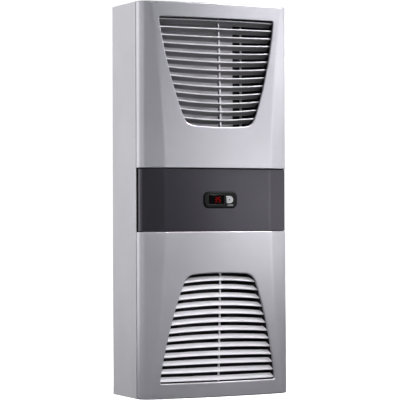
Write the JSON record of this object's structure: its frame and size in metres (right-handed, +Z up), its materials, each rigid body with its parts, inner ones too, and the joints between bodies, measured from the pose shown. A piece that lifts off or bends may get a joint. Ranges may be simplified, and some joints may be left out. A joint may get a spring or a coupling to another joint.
{
  "type": "enclosure air-to-air heat exchanger",
  "caption": "Slim upright air-to-air heat exchanger for a switch cabinet, with a bulged grey front, louvred upper and lower grilles and a dark control band with a small digital controller.",
  "frame": {"origin": "middle of the footprint, at the bottom of the unit", "axes": "+Z up along the height, +Y towards the back that fixes to the cabinet, -Y the bowed front, +X to the viewer's right"},
  "size_m": [0.4, 0.195, 0.95],
  "materials": {
    "housing_paint": "satin powder coat",
    "cover_paint": "satin powder coat",
    "band_paint": "satin anthracite coat",
    "grille_plastic": "moulded, satin",
    "black_plastic": "polished black",
    "display_glass": "dark clear window",
    "display_red": "lit segments",
    "key_silver": "satin membrane",
    "key_grey": "satin membrane",
    "seal_rubber": "foam, matt",
    "zinc_sheet": "zinc coated sheet",
    "core_aluminium": "mill finish",
    "fan_black": "glass-filled, matt"
  },
  "bodies": {
    "root": {"back_panel": "housing_paint", "left_side_panel": "housing_paint", "right_side_panel": "housing_paint", "top_panel": "housing_paint", "bottom_panel": "housing_paint", "front_frame_left": "housing_paint", "front_frame_right": "housing_paint", "front_frame_top": "housing_paint", "front_frame_bottom": "housing_paint", "centre_rail": "zinc_sheet", "cover_seal": "seal_rubber", "rear_gasket": "seal_rubber", "upper_front_cover": "cover_paint", "lower_front_cover": "cover_paint", "control_band": "band_paint", "upper_grille": "grille_plastic", "lower_grille": "grille_plastic", "controller_bezel": "black_plastic", "display_window": "display_glass", "display_digits": "display_red", "set_key": "key_silver", "function_key": "key_grey", "upper_baffle_plate": "zinc_sheet", "guide_bar": "zinc_sheet", "upper_partition": "fan_black", "lower_partition": "fan_black", "exchanger_core": "core_aluminium", "outer_fan_motor": "fan_black", "outer_fan_impeller": "fan_black", "inner_fan_motor": "fan_black", "inner_fan_impeller": "fan_black"}
  },
  "joints": []
}
